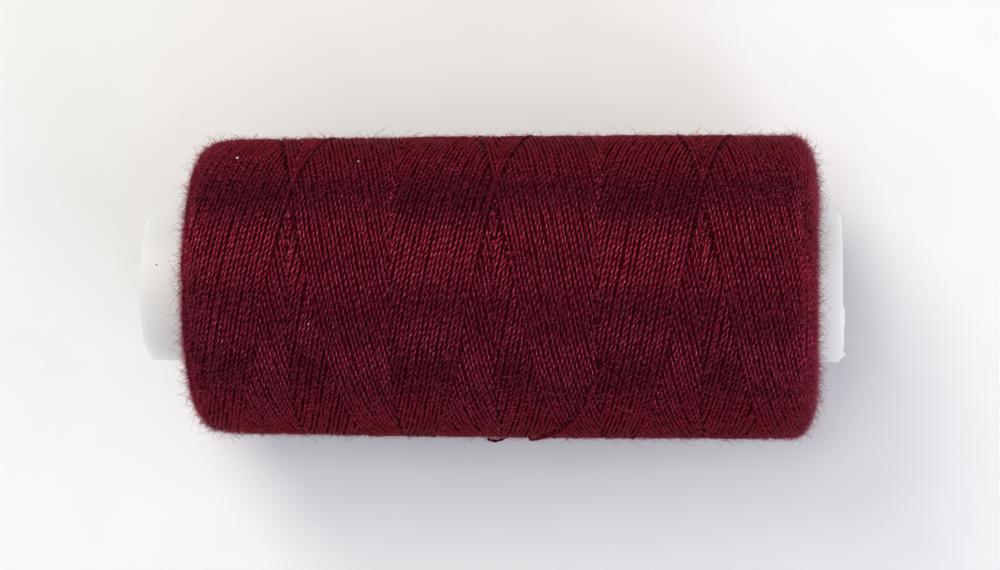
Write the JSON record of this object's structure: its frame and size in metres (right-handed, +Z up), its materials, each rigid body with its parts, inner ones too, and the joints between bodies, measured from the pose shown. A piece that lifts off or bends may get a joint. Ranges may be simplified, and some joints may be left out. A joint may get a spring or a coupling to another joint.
{
  "type": "spool of thread",
  "caption": "Cross-wound sewing thread on a plain straight plastic tube with a through bore, lying on its side with its loose thread end over the flank.",
  "frame": {"origin": "on the surface that the spool lies on, under the middle of the tube's length", "axes": "+X along the tube towards the end with less bare tube, +Z up, +Y away from the side where the loose thread end hangs"},
  "size_m": [0.0624, 0.0285, 0.0274],
  "materials": {
    "tube_plastic": "satin",
    "thread": "matte"
  },
  "bodies": {
    "root": {"tube": "tube_plastic", "starting_turns": "thread", "wound_thread": "thread", "last_stroke_out": "thread", "last_stroke_back": "thread", "thread_end": "thread"}
  },
  "joints": []
}
